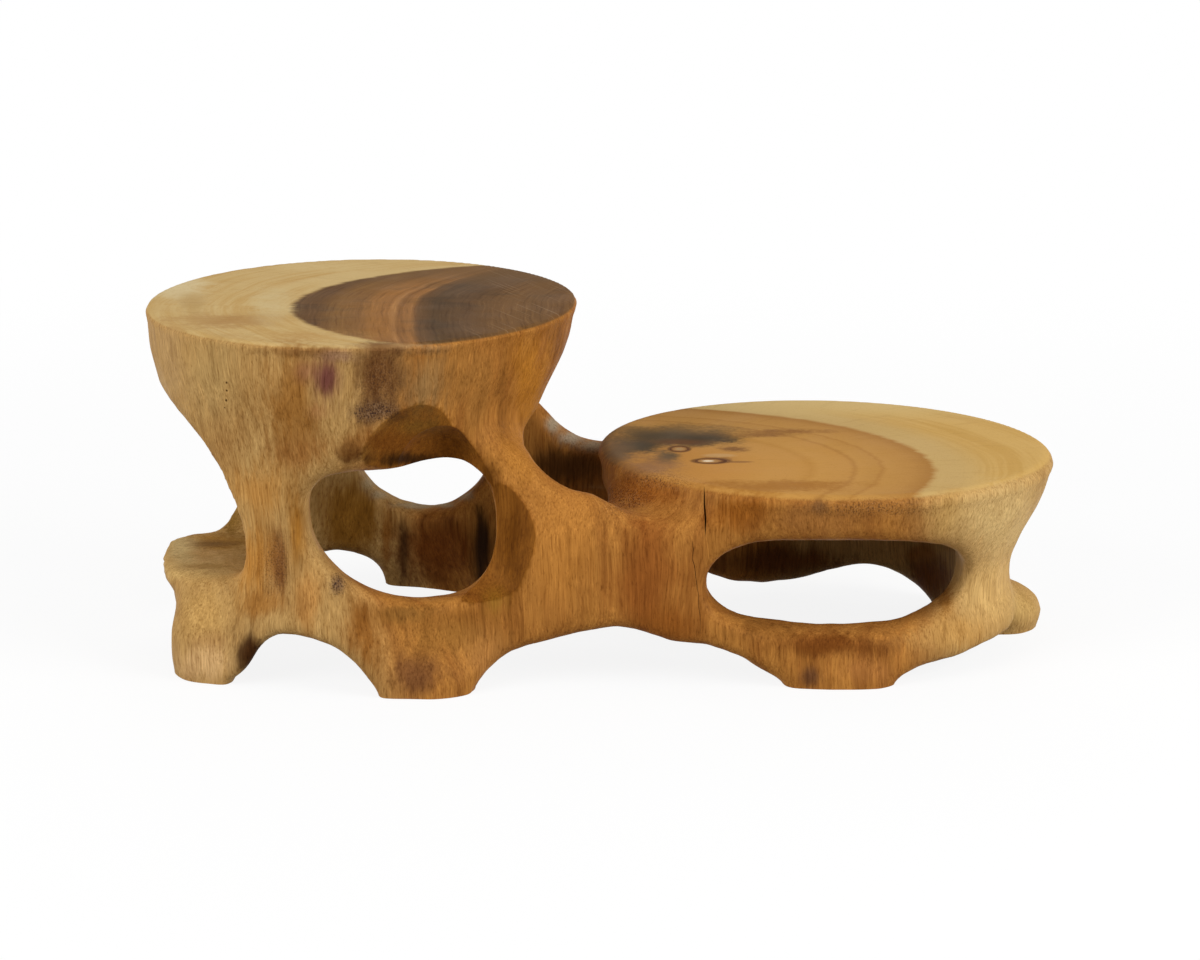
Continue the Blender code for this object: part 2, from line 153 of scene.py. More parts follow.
def rough_body():
    """The CAD body with its knot sockets filled and its feet grown past the floor, to be sawn again."""
    bm = bmesh.new()
    bm.from_mesh(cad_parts["carved_body"].data)
    bmesh.ops.remove_doubles(bm, verts=bm.verts, dist=WELD)
    feet = [face for face in bm.faces if all(abs(vert.co.z) < FLOOR_TOUCH for vert in face.verts)]
    grown = bmesh.ops.extrude_face_region(bm, geom=feet)["geom"]
    bmesh.ops.translate(bm, vec=(0.0, 0.0, -FOOT_STOCK), verts=of_type(grown, bmesh.types.BMVert))
    bmesh.ops.delete(bm, geom=feet, context="FACES_ONLY")
    for knot in KNOTS.values():
        knot_solid(bm, knot, SOCKET_FILL, LOW.top)
    rough = link("rough_body", mesh_of("rough_body", bm))
    remesh = rough.modifiers.new("resolve", "REMESH")
    remesh.mode = "VOXEL"
    remesh.voxel_size = VOXEL
    made = evaluated_mesh(rough)
    bpy.data.objects.remove(rough)
    return made


def arrays(mesh):
    points = np.empty(len(mesh.vertices) * 3, np.float32)
    mesh.vertices.foreach_get("co", points)
    edges = np.empty(len(mesh.edges) * 2, np.int32)
    mesh.edges.foreach_get("vertices", edges)
    return points.reshape(-1, 3).astype(float), edges.reshape(-1, 2)


def normals_of(mesh):
    found = np.empty(len(mesh.vertices) * 3, np.float32)
    mesh.vertices.foreach_get("normal", found)
    return found.reshape(-1, 3).astype(float)


def place_points(mesh, points):
    mesh.vertices.foreach_set("co", points.astype(np.float32).ravel())
    mesh.update()


def relax(points, edges, passes):
    """Smooths the values of a mesh's points without shrinking them, by turns inwards and outwards."""
    count = np.bincount(edges.ravel(), minlength=len(points))[:, None]
    for factor in RELAX_TURNS * passes:
        total = np.empty_like(points)
        for k in range(points.shape[1]):
            total[:, k] = np.bincount(edges[:, 0], points[edges[:, 1], k], len(points))
            total[:, k] += np.bincount(edges[:, 1], points[edges[:, 0], k], len(points))
        points = points + factor * (total / count - points)
    return points


def true_seat(seat, points):
    """Puts the points of a seat's top and rim on its true surface, and says which lie on it."""
    rim = seat.rim
    sine = (points[:, 1] - seat.y) / (seat.depth / 2)
    cosine = (points[:, 0] - seat.x - seat.lean * sine) / (seat.width / 2)
    share = np.hypot(sine, cosine)
    radius = (seat.width + seat.depth) / 4
    out = (share - 1.0) * radius
    up = points[:, 2] - seat.top
    near = (up > -rim - RIM_REACH) & (out < RIM_REACH) & (up < RIM_REACH)
    corner = near & (out > -rim) & (up > -rim)
    length = np.maximum(np.hypot(out + rim, up + rim), 1e-6)
    new_out = np.where(corner, -rim + rim * (out + rim) / length, out)
    new_up = np.where(corner, -rim + rim * (up + rim) / length, up)
    flat = near & (out <= -rim) & (up > -TOP_REACH)
    new_up = np.where(flat, 0.0, new_up)
    wall = near & (up <= -rim) & (out > -WALL_REACH)
    fade = np.clip((up + rim + RIM_REACH) / RIM_REACH, 0.0, 1.0)
    new_out = np.where(wall, out * (1.0 - fade), new_out)
    scale = np.where(share > 1e-6, (1.0 + new_out / radius) / np.maximum(share, 1e-6), 1.0)
    sine, cosine = sine * scale, cosine * scale
    x = seat.x + cosine * seat.width / 2 + seat.lean * sine
    fitted = np.stack((x, seat.y + sine * seat.depth / 2, seat.top + new_up), axis=1)
    return np.where((corner | flat | wall)[:, None], fitted, points), flat | corner


def carve(points, normals, keep):
    """The slight waves that carving and sanding leave on everything but the seats, deeper on the feet."""
    moved = points.copy()
    for i in np.flatnonzero(~keep):
        point = points[i]
        wave = sum(share * noise.noise(Vector(point * scales)) for scales, share in CARVE_WAVES)
        deeper = 1.0 + max(0.0, 1.0 - point[2] / LOW_CARVE_HEIGHT)
        moved[i] = point + normals[i] * (CARVE_DEPTH * deeper * wave)
    return moved


def saw_feet(mesh):
    with edited(mesh) as bm:
        cut = bmesh.ops.bisect_plane(
            bm, geom=[*bm.verts, *bm.edges, *bm.faces], plane_co=(0.0, 0.0, 0.0), plane_no=(0.0, 0.0, -1.0),
            clear_outer=True, dist=WELD,
        )["geom_cut"]
        bmesh.ops.holes_fill(bm, edges=of_type(cut, bmesh.types.BMEdge), sides=0)
        bmesh.ops.recalc_face_normals(bm, faces=bm.faces)


# Small cuts: the gouge's sweeps, the drying check and its vein, the pinholes and the knots' sockets.

# The gouge's sweeps round the front hole, which leave a crisp ridge on its right: centre, half sizes, half
# height of the lower half, and turn.
Sweep = namedtuple("Sweep", "centre radii lower turn")
SWEEPS = (
    Sweep(
        centre=Vector((-0.1088, -0.1974, 0.1013)), radii=Vector((0.0967, 0.0900, 0.1515)), lower=0.050,
        turn=Matrix.Rotation(0.4498, 3, "Y"),
    ),
    Sweep(
        centre=Vector((-0.1030, -0.1350, 0.1350)), radii=Vector((0.0390, 0.0350, 0.0490)), lower=0.049,
        turn=Matrix.Identity(3),
    ),
)
SWEEP_AROUND, SWEEP_UP = 160, 120
# How near a sweep's surface a point was cut by it, as a share of its half sizes.
SWEEP_TOUCH = 0.003
RIDGE_ANGLE = math.radians(12)

# The open drying check in the low seat's front: pixels of its line and its half width there, in metres.
CHECK = (
    (704.1, 487.0, 0.00008), (704.4, 494.0, 0.00030), (704.3, 502.0, 0.00044), (704.9, 511.0, 0.00060),
    (705.6, 520.0, 0.00056), (705.2, 527.0, 0.00038), (705.4, 532.0, 0.00020), (705.0, 537.0, 0.00006),
)
# The closed vein that runs on below it.
VEIN = (
    (692.4, 541.0, 0.00006), (693.4, 550.0, 0.00022), (692.2, 558.0, 0.00012), (694.6, 566.0, 0.00026),
    (695.6, 576.0, 0.00016), (697.0, 586.0, 0.00022), (698.6, 597.0, 0.00012), (699.0, 608.0, 0.00018),
    (700.4, 620.0, 0.00010), (700.2, 634.0, 0.00005),
)
CHECK_DEPTH, VEIN_DEPTH = 0.009, 0.0016
# How far the blade that cuts them starts outside the wood, and the share of its width at its inner edge.
BLADE_REACH, BLADE_TIP = 0.003, 0.15

# Pinholes in the high seat's wall: pixel and radius.
PINHOLES = ((226.5, 382.8, 0.0012), (226.7, 390.7, 0.0011), (226.2, 400.4, 0.0012), (224.9, 407.7, 0.0008))
PINHOLE_DEPTH, PINHOLE_TAPER, PINHOLE_SIDES = 0.006, 0.6, 12
SOCKET_OVERRUN = 0.002


def surface_point(tree, u, v):
    """Where the camera's ray through a pixel meets the wood, and the surface's normal there."""
    hit, normal, _, _ = tree.ray_cast(EYE, pixel_ray(u, v))
    return hit, normal


def blade(bm, tree, line, depth):
    """A wedge that follows a line on the surface: open outside, closing to an edge within."""
    rings = []
    for u, v, half in line:
        hit, _ = surface_point(tree, u, v)
        inwards = pixel_ray(u, v)
        wide = Vector((half * (1.0 + BLADE_REACH / depth), 0.0, 0.0))
        thin = Vector((half * BLADE_TIP, 0.0, 0.0))
        outer, inner = hit - inwards * BLADE_REACH, hit + inwards * depth
        corners = (outer - wide, outer + wide, inner + thin, inner - thin)
        rings.append([bm.verts.new(corner) for corner in corners])
    for one, two in zip(rings, rings[1:]):
        for i in range(4):
            j = (i + 1) % 4
            bm.faces.new((one[i], one[j], two[j], two[i]))
    bm.faces.new(rings[0])
    bm.faces.new(rings[-1][::-1])


def pinhole(bm, tree, u, v, radius):
    hit, normal = surface_point(tree, u, v)
    turn = Vector((0.0, 0.0, 1.0)).rotation_difference(normal).to_matrix().to_4x4()
    made = bmesh.ops.create_cone(
        bm, cap_ends=True, segments=PINHOLE_SIDES, radius1=radius * PINHOLE_TAPER, radius2=radius,
        depth=PINHOLE_DEPTH * 2,
    )["verts"]
    bmesh.ops.transform(bm, matrix=turn, verts=made)
    bmesh.ops.translate(bm, vec=hit, verts=made)


def sweep_cutter(sweep):
    bm = bmesh.new()
    bmesh.ops.create_uvsphere(bm, u_segments=SWEEP_AROUND, v_segments=SWEEP_UP, radius=1.0)
    for vert in bm.verts:
        if vert.co.z < 0.0:
            vert.co.z *= sweep.lower / sweep.radii.z
    bmesh.ops.transform(bm, matrix=Matrix.LocRotScale(sweep.centre, sweep.turn, sweep.radii), verts=bm.verts)
    return link("sweep", mesh_of("sweep", bm))


def on_sweep(points):
    """Which points the gouge's sweeps have cut."""
    found = np.zeros(len(points), bool)
    for sweep in SWEEPS:
        local = (points - np.array(sweep.centre)) @ np.array(sweep.turn) / np.array(sweep.radii)
        local[:, 2] *= np.where(local[:, 2] < 0.0, sweep.radii.z / sweep.lower, 1.0)
        found |= np.abs(np.linalg.norm(local, axis=1) - 1.0) < SWEEP_TOUCH
    return found


def keep_ridge_crisp(mesh):
    """Marks the edges where the gouge's sweeps meet as sharp, so that shading doesn't round them."""
    swept = on_sweep(arrays(mesh)[0])
    with edited(mesh) as bm:
        for edge in bm.edges:
            if len(edge.link_faces) == 2 and all(swept[vert.index] for vert in edge.verts):
                if edge.calc_face_angle() > RIDGE_ANGLE:
                    edge.smooth = False


def small_cutter(tree):
    bm = bmesh.new()
    for knot in KNOTS.values():
        knot_solid(bm, knot, KNOT_GAP, LOW.top + SOCKET_OVERRUN)
    blade(bm, tree, CHECK, CHECK_DEPTH)
    blade(bm, tree, VEIN, VEIN_DEPTH)
    for u, v, radius in PINHOLES:
        pinhole(bm, tree, u, v, radius)
    bmesh.ops.recalc_face_normals(bm, faces=bm.faces)
    return link("small_cuts", mesh_of("small_cuts", bm))


def drop_folds(bm):
    """Deletes faces that lie on the same corners, which a cut can leave folded over each other."""
    by_corners = {}
    for face in bm.faces:
        by_corners.setdefault(frozenset(face.verts), []).append(face)
    folded = [face for faces in by_corners.values() if len(faces) > 1 for face in faces]
    bmesh.ops.delete(bm, geom=folded, context="FACES")


def cut_away(mesh, cutter):
    """The mesh less the cutter, with no face of more than four corners."""
    body = link("body", mesh)
    boolean = body.modifiers.new("cut", "BOOLEAN")
    boolean.operation = "DIFFERENCE"
    boolean.object = cutter
    done = evaluated_mesh(body)
    bpy.data.objects.remove(body)
    bpy.data.objects.remove(cutter)
    with edited(done) as bm:
        bmesh.ops.triangulate(bm, faces=[face for face in bm.faces if len(face.verts) > 4])
        drop_folds(bm)
    return done


def tree_of(mesh):
    return BVHTree.FromPolygons([v.co for v in mesh.vertices], [p.vertices for p in mesh.polygons])


# Stains and weathering that the grain doesn't explain, with painted shade and painted highlights among them.

# Each stain: what it is, its middle in pixels of the photograph, its half width and height there, its colour
# and its strength. Some entries are painted shade and painted highlights, as the comments beside them say.
STAINS_AND_PAINTED_LIGHT = (
    # high seat, sapwood
    ("pale far edge", 178, 288, 34, 16, (0.62, 0.49, 0.27), 0.8),
    ("tan flame", 235, 321, 50, 7, (0.39, 0.22, 0.075), 0.8),
    ("tan flame's tail", 200, 318, 20, 8, (0.44, 0.27, 0.10), 0.7),
    ("tan flame's root", 192, 303, 16, 10, (0.44, 0.28, 0.10), 0.8),
    ("pale next to the heart", 272, 303, 22, 18, (0.57, 0.43, 0.21), 0.7),
    ("pale back edge", 330, 267, 60, 5, (0.58, 0.42, 0.19), 0.6),
    ("tan front", 300, 336, 60, 7, (0.45, 0.265, 0.085), 0.6),
    # high seat, wall
    ("pale left end", 168, 360, 18, 50, (0.44, 0.265, 0.100), 0.85),
    ("pale left", 212, 372, 34, 44, (0.42, 0.260, 0.092), 0.85),
    ("tan under the pale", 222, 440, 26, 34, (0.33, 0.17, 0.05), 0.75),
    ("orange wall", 288, 400, 32, 60, (0.29, 0.125, 0.025), 0.9),
    ("brown under the rim", 312, 352, 44, 5, (0.19, 0.085, 0.024), 0.8),
    ("worn rim", 400, 346, 46, 2.5, (0.42, 0.25, 0.11), 0.8),
    ("dark line under the worn rim", 410, 351, 44, 2.5, (0.13, 0.06, 0.022), 0.7),
    ("pink patch", 338, 357, 18, 6, (0.40, 0.23, 0.12), 0.75),
    ("pink wash", 308, 372, 14, 12, (0.30, 0.13, 0.06), 0.6),
    ("purple streak", 327, 382, 12, 22, (0.14, 0.045, 0.034), 0.95),
    ("pale below the purple", 320, 412, 12, 8, (0.36, 0.17, 0.06), 0.6),
    ("grey brown zone", 380, 374, 30, 38, (0.145, 0.060, 0.017), 0.95),
    ("speckled grey", 372, 412, 28, 13, (0.125, 0.062, 0.027), 0.9),
    ("middle wall", 428, 385, 24, 36, (0.30, 0.165, 0.056), 0.8),
    ("right wall", 474, 385, 22, 44, (0.35, 0.155, 0.034), 0.75),
    ("brown vertical band", 503, 400, 6, 60, (0.25, 0.10, 0.02), 0.7),
    ("golden flank", 530, 385, 17, 56, (0.44, 0.18, 0.024), 0.85),
    ("dark flank streaks", 558, 342, 10, 22, (0.22, 0.085, 0.018), 0.75),
    ("rust under the wall", 300, 452, 34, 18, (0.30, 0.125, 0.03), 0.6),
    ("brown brow", 395, 442, 54, 14, (0.28, 0.105, 0.020), 0.9),
    # the brow's right: partly its own colour, partly painted shade
    ("brown brow's right", 452, 448, 22, 18, (0.19, 0.068, 0.009), 0.9),
    ("olive brow", 415, 426, 26, 7, (0.30, 0.150, 0.034), 0.75),
    ("dark brow edge", 402, 459, 50, 7, (0.055, 0.022, 0.006), 0.95),
    ("dark brow corner", 350, 452, 14, 12, (0.13, 0.050, 0.010), 0.8),
    # leg and left end
    ("upper leg", 256, 490, 34, 26, (0.46, 0.220, 0.052), 0.85),
    ("reddish leg patch", 277, 566, 13, 38, (0.20, 0.078, 0.020), 0.9),
    ("leg", 250, 560, 20, 40, (0.46, 0.200, 0.036), 0.8),
    ("bottom of the leg", 262, 604, 22, 14, (0.36, 0.160, 0.034), 0.85),
    ("rim of the hole on the leg", 296, 532, 9, 34, (0.30, 0.125, 0.018), 0.9),
    ("pale leg foot", 308, 598, 14, 34, (0.47, 0.230, 0.062), 0.85),
    ("olive ledge", 208, 543, 46, 10, (0.33, 0.165, 0.032), 0.95),
    ("ledge front", 188, 569, 38, 12, (0.56, 0.360, 0.130), 1.0),
    ("brown ledge streak", 212, 544, 26, 3, (0.17, 0.08, 0.017), 0.8),
    ("brown lobe streak", 205, 566, 24, 3, (0.32, 0.17, 0.042), 0.7),
    # the brace: partly its own colour, partly painted shade
    ("brace", 232, 520, 14, 16, (0.22, 0.115, 0.022), 0.9),
    ("pale end of the ledge", 180, 548, 16, 14, (0.56, 0.40, 0.17), 0.95),
    ("lobe", 208, 612, 26, 30, (0.48, 0.280, 0.086), 0.85),
    ("lobe foot", 205, 662, 28, 20, (0.60, 0.37, 0.158), 0.9),
    ("lobe mottling", 212, 640, 22, 8, (0.36, 0.19, 0.06), 0.6),
    # painted shade on the inner face of the left foot
    ("dark inner face of the left foot", 250, 652, 16, 28, (0.05, 0.018, 0.004), 1.0),
    ("mottled dark patch", 337, 586, 9, 11, (0.12, 0.062, 0.03), 0.85),
    # wall between the seats
    ("gold wall", 560, 540, 34, 66, (0.44, 0.183, 0.035), 0.9),
    ("gold upper wall", 520, 455, 22, 32, (0.42, 0.175, 0.03), 0.8),
    ("brown above the sill", 455, 620, 34, 12, (0.28, 0.105, 0.018), 0.8),
    ("sill", 405, 614, 34, 10, (0.24, 0.105, 0.020), 0.85),
    # the bevel of the front hole: partly its own colour, partly painted shade
    ("bevel of the front hole", 510, 545, 12, 50, (0.23, 0.085, 0.010), 0.9),
    ("bevel of the front hole, above", 490, 482, 9, 26, (0.17, 0.062, 0.008), 0.9),
    ("bevel of the front hole, below", 494, 600, 12, 16, (0.30, 0.14, 0.020), 0.8),
    ("brown wall", 645, 575, 38, 62, (0.25, 0.080, 0.014), 0.97),
    ("brown wall, below", 672, 626, 34, 22, (0.23, 0.074, 0.011), 0.95),
    ("edge of the brown wall", 605, 545, 3, 44, (0.20, 0.070, 0.012), 0.8),
    ("brown ramp", 640, 492, 46, 15, (0.27, 0.088, 0.012), 0.92),
    ("edge of the ramp", 600, 487, 22, 3, (0.36, 0.19, 0.07), 0.5),
    ("dark foot patch", 415, 672, 28, 22, (0.17, 0.066, 0.020), 0.95),
    ("foot", 452, 640, 50, 22, (0.29, 0.125, 0.024), 0.8),
    ("right of the foot", 486, 658, 22, 28, (0.42, 0.185, 0.046), 0.8),
    ("left of the foot", 362, 634, 22, 34, (0.25, 0.095, 0.016), 0.85),
    # painted highlights on the saddle's lit lip
    ("saddle lip, left", 552, 424, 9, 9, (0.36, 0.28, 0.18), 0.9),
    ("saddle lip", 570, 437, 12, 7, (0.42, 0.33, 0.22), 0.95),
    ("saddle lip, right", 590, 445, 14, 6, (0.40, 0.31, 0.20), 0.9),
    # inside
    # painted shade in the saddle's hollow
    ("dark saddle", 572, 466, 44, 22, (0.115, 0.046, 0.011), 1.0),
    ("olive hollow", 352, 518, 34, 48, (0.24, 0.105, 0.014), 0.95),
    # painted highlights: the back lip, lit from behind
    ("back lip, far left", 368, 484, 7, 7, (0.42, 0.31, 0.16), 0.8),
    ("back lip, left", 380, 495, 9, 5, (0.42, 0.32, 0.18), 0.8),
    ("back lip, middle", 412, 505, 20, 3.5, (0.42, 0.32, 0.18), 0.8),
    ("back lip, right", 445, 504, 12, 3.5, (0.40, 0.30, 0.17), 0.8),
    ("back lip, far right", 466, 496, 9, 5, (0.38, 0.28, 0.16), 0.7),
    ("dark hollow", 440, 550, 50, 38, (0.14, 0.040, 0.006), 0.92),
    # painted shade deep in the hollow
    ("painted shade, deep in the hollow", 482, 545, 10, 50, (0.02, 0.009, 0.004), 0.95),
    ("black line of the hollow", 404, 548, 5, 36, (0.05, 0.020, 0.006), 0.85),
    ("rusty line of the hollow", 386, 545, 5, 40, (0.24, 0.085, 0.012), 0.7),
    ("dark slot", 780, 562, 84, 18, (0.110, 0.036, 0.008), 0.95),
    ("slot's right end", 930, 580, 32, 28, (0.12, 0.036, 0.004), 1.0),
    # low seat
    ("halo of the slate", 670, 432, 70, 9, (0.22, 0.120, 0.036), 0.85),
    ("slate zone", 696, 439, 38, 7, (0.052, 0.034, 0.016), 1.0),
    ("slate, upper left", 662, 436, 34, 7, (0.085, 0.056, 0.027), 0.95),
    ("slate left", 640, 446, 28, 8, (0.065, 0.044, 0.021), 1.0),
    ("slate spot", 668, 457, 14, 6, (0.105, 0.070, 0.034), 0.95),
    ("brown line over the left knot", 680, 442, 26, 2.5, (0.13, 0.052, 0.016), 0.85),
    ("brown over the right knot", 736, 449, 18, 3, (0.19, 0.080, 0.020), 0.85),
    ("brown beside the right knot", 720, 459, 14, 2.5, (0.16, 0.065, 0.018), 0.8),
    ("greyish edge", 617, 452, 16, 13, (0.16, 0.095, 0.045), 0.95),
    ("greyish orange", 650, 467, 30, 9, (0.27, 0.130, 0.050), 0.85),
    ("dark line, upper", 790, 431, 48, 2.5, (0.25, 0.105, 0.026), 0.75),
    ("dark line, lower", 762, 435, 34, 2.5, (0.25, 0.110, 0.028), 0.75),
    # low seat, wall and feet
    ("left low wall", 745, 512, 38, 18, (0.28, 0.090, 0.010), 0.9),
    ("low front edge", 775, 486, 90, 6, (0.34, 0.145, 0.026), 0.9),
    ("middle low wall", 815, 522, 50, 17, (0.34, 0.140, 0.032), 0.85),
    ("speckled brown band", 870, 506, 44, 7, (0.30, 0.125, 0.026), 0.75),
    ("dark mark", 820, 506, 8, 8, (0.17, 0.075, 0.024), 0.8),
    ("right low wall", 950, 512, 26, 26, (0.48, 0.28, 0.085), 0.8),
    ("pale right end", 1005, 520, 40, 50, (0.62, 0.42, 0.17), 0.9),
    ("pale right waist", 990, 590, 30, 34, (0.62, 0.39, 0.14), 0.9),
    ("right root", 1022, 606, 20, 22, (0.52, 0.33, 0.112), 0.8),
    ("slot's brown lip", 920, 554, 16, 10, (0.26, 0.105, 0.020), 0.85),
    ("inner rim of the slot, right", 945, 600, 9, 24, (0.26, 0.105, 0.018), 0.8),
    ("foot patch", 812, 678, 12, 11, (0.13, 0.052, 0.019), 0.92),
    ("brown low foot", 830, 646, 66, 15, (0.155, 0.048, 0.007), 1.0),
    ("brown under the slot", 760, 632, 40, 12, (0.26, 0.105, 0.020), 0.85),
    ("low foot", 866, 672, 30, 14, (0.34, 0.135, 0.032), 0.8),
    ("pale right foot", 948, 632, 50, 20, (0.50, 0.27, 0.075), 0.8),
)
# Fields of dark and pale speckles: pixel, half width and height, strength.
SPECKLES = (
    (372, 412, 26, 11, 1.0), (620, 500, 30, 16, 0.9), (655, 480, 40, 10, 0.7), (274, 565, 16, 34, 0.5),
    (337, 586, 9, 11, 0.9), (870, 508, 60, 9, 0.6), (380, 382, 24, 26, 0.45),
)
# How far each spot, stain and painted light alike, reaches off its own surface, how far along it, and how
# sharply it ends.
SPOT_DEPTH, SPOT_RANGE, SPOT_EDGE = 0.022, 0.25, 1.3
# Noise that makes the spots' edges uneven: its scales and seed, and how much, as a share of their size.
UNEVEN_SCALES, UNEVEN_SEED, UNEVEN_SHARE = (45.0, 45.0, 22.0), 1, 0.35
# Spots fade out where the surface turns away from the camera: over what cosine, and their share edge-on.
FACING_RANGE, EDGE_ON_SHARE = 0.3, 0.7

# Rays that feel how deep in a hollow each point lies, for the painted shade there: how many, how far they
# reach and where they start, then the passes that smooth what they find.
RECESS_RAYS = 22
RECESS_REACH, RECESS_START = 0.110, 0.001
RECESS_PASSES = 2
GOLDEN_ANGLE = math.pi * (3.0 - math.sqrt(5.0))


def uneven_edges(points):
    """Two noises for each point, seeded so that they are the same on every run."""
    noise.seed_set(UNEVEN_SEED)
    return np.array([noise.noise_vector(Vector(point * UNEVEN_SCALES))[:2] for point in points])


def spot_weight(tree, points, u, v, uneven, spot):
    """How much of a soft round spot on the photograph's side each point takes, from 0 to 1."""
    centre_u, centre_v, half_u, half_v = spot
    hit, normal = surface_point(tree, centre_u, centre_v)
    if hit is None:
        print("a spot misses the wood", spot)
        return np.zeros(len(points))
    hit, normal = np.array(hit), np.array(normal)
    off = (points - hit) @ normal
    across = (u - centre_u) / half_u + uneven[:, 0] * UNEVEN_SHARE
    down = (v - centre_v) / half_v + uneven[:, 1] * UNEVEN_SHARE
    near = np.linalg.norm(points - hit, axis=1) < SPOT_RANGE
    return np.exp(-((across**2 + down**2) ** SPOT_EDGE)) * np.exp(-((off / SPOT_DEPTH) ** 2)) * near


def recess_shade(tree, points, normals):
    """How much of what each point faces is the object itself, close by, which sets the painted shade in the
    hollows.
    """
    spiral = []
    for i in range(RECESS_RAYS):
        height = math.sqrt(1.0 - (i + 0.5) / RECESS_RAYS)
        wide, turn = math.sqrt(1 - height**2), i * GOLDEN_ANGLE
        spiral.append((math.cos(turn) * wide, math.sin(turn) * wide, height))
    found = np.zeros(len(points), np.float32)
    for i, (point, normal) in enumerate(zip(points, normals)):
        up = Vector(normal)
        side = up.orthogonal().normalized()
        other = up.cross(side)
        start = Vector(point) + up * RECESS_START
        for a, b, c in spiral:
            hit = tree.ray_cast(start, side * a + other * b + up * c, RECESS_REACH)[0]
            found[i] += hit is not None
    return found / RECESS_RAYS


def write_attribute(mesh, name, values):
    values = np.ascontiguousarray(values, np.float32)
    wide = values.ndim == 2
    layer = mesh.attributes.new(name, "FLOAT_VECTOR" if wide else "FLOAT", "POINT")
    layer.data.foreach_set("vector" if wide else "value", values.ravel())


def weather_and_shade(mesh, tree):
    """Gives each point its stain and painted light, its speckles, whether the gouge cut it, and how deep it
    lies for the painted shade in the hollows.
    """
    points, edges = arrays(mesh)
    normals = normals_of(mesh)
    u, v = to_pixels(points)
    uneven = uneven_edges(points)
    towards = np.array(EYE) - points
    towards /= np.linalg.norm(towards, axis=1)[:, None]
    facing = np.clip((towards * normals).sum(axis=1) / FACING_RANGE + EDGE_ON_SHARE, 0.0, 1.0)
    colour, cover = np.zeros((len(points), 3)), np.zeros((len(points), 1))
    for _, *spot, tint, strength in STAINS_AND_PAINTED_LIGHT:
        weight = (spot_weight(tree, points, u, v, uneven, spot) * facing * strength)[:, None]
        new_cover = cover + weight * (1.0 - cover)
        colour = (colour * cover * (1.0 - weight) + np.array(tint) * weight) / np.maximum(new_cover, 1e-6)
        cover = new_cover
    speckle = np.zeros(len(points))
    for *spot, strength in SPECKLES:
        speckle = np.maximum(speckle, spot_weight(tree, points, u, v, uneven, spot) * facing * strength)
    deep = recess_shade(tree, points, normals)
    write_attribute(mesh, "stain_and_painted_light", colour)
    write_attribute(mesh, "stain_and_painted_light_strength", cover[:, 0])
    write_attribute(mesh, "speckle", speckle)
    write_attribute(mesh, "swept", on_sweep(points))
    write_attribute(mesh, "recess_shade", relax(deep[:, None].astype(float), edges, RECESS_PASSES)[:, 0])


# Wood. Colours are linear red, green and blue. A noise is given by its scales along the axes, its detail and
# its roughness, and a fade by the values where it starts and is full.

SHEEN = 0.035
# The heartwood's oval in plan at the high seat's end and at the low seat's, and where one turns to the other.
HIGH_HEART = (0.0, -0.0195, 0.213, 0.1665)
LOW_HEART = (0.0, -0.062, 0.227, 0.187)
LOW_END_FADE = (-0.03, 0.03)
# How the growth rings waver: scale, reach and detail of the drift, then the feathered edge of the heartwood.
RING_DRIFT = (9.0, (0.018, 0.018, 0.0), 3.0)
FEATHER, FEATHER_SHARE, RING_DRIFT_SHARE = ((60.0, 190.0, 60.0), 3.0, 0.6), 0.035, 0.25
HEART_FADE = (1.012, 0.982)
WIDE_RINGS, FINE_RINGS = ((15.0, 1.1, 2.0), 4.0, 0.6), ((90.0, 3.0, 5.0), 3.0, 0.6)
WIDE_SHARE = 0.7
RAYS = ((60.0, 7.0, 6.0), 2.0, 0.5)

# The high seat's heartwood, from its left edge to the right: bands that curve like the growth rings.
HIGH_BANDS = (
    (0.00, (0.125, 0.064, 0.025)), (0.10, (0.120, 0.060, 0.024)), (0.17, (0.20, 0.098, 0.030)),
    (0.25, (0.21, 0.098, 0.030)), (0.29, (0.28, 0.125, 0.033)), (0.345, (0.27, 0.118, 0.032)),
    (0.365, (0.35, 0.165, 0.052)), (0.385, (0.21, 0.092, 0.027)), (0.42, (0.29, 0.130, 0.038)),
    (0.445, (0.13, 0.064, 0.024)), (0.50, (0.085, 0.046, 0.019)), (0.62, (0.110, 0.056, 0.022)),
    (0.75, (0.155, 0.076, 0.026)), (0.85, (0.140, 0.070, 0.025)), (1.00, (0.150, 0.073, 0.027)),
)
HIGH_BAND_START, HIGH_BAND_LENGTH = -0.215, 0.2
# The bands' drift, then their bend: where across the slice they turn, and how fast behind and before that.
BAND_DRIFT = (30.0, (0.006, 0.004, 0.0))
BAND_MIDDLE, BAND_BEND_BEHIND, BAND_BEND_BEFORE = -0.02, 2.9, 0.55
BAND_LINES = ((420.0, 16.0, 1.0), 3.0, 0.65)
BAND_LINE_TINTS = ((0.50, 0.72, (0.74, 0.70, 0.68)), (0.48, 0.28, (1.26, 1.28, 1.30)))
BLOTCHES, BLOTCH_FADE, BLOTCH_TINT = ((22.0, 34.0, 1.0), 3.0, 0.6), (0.50, 0.68), (0.80, 0.84, 0.92)
HEART_BACK_FADE, HEART_BACK_SHARE, HEART_BACK = (0.03, 0.11), 0.8, (0.155, 0.082, 0.032)
# Scratches on the right of the high seat, which run a little slanted.
SCRATCHES, SCRATCH_SLANT, SCRATCH_FADE = ((700.0, 12.0, 1.0), 1.0, 0.5), 0.5, (0.62, 0.70)
SCRATCHED_FADE, SCRATCH_SHARE, SCRATCH = (-0.11, -0.05), 0.40, (0.33, 0.21, 0.115)
HIGH_SAP = ((0.56, 0.395, 0.170), (0.50, 0.315, 0.110))

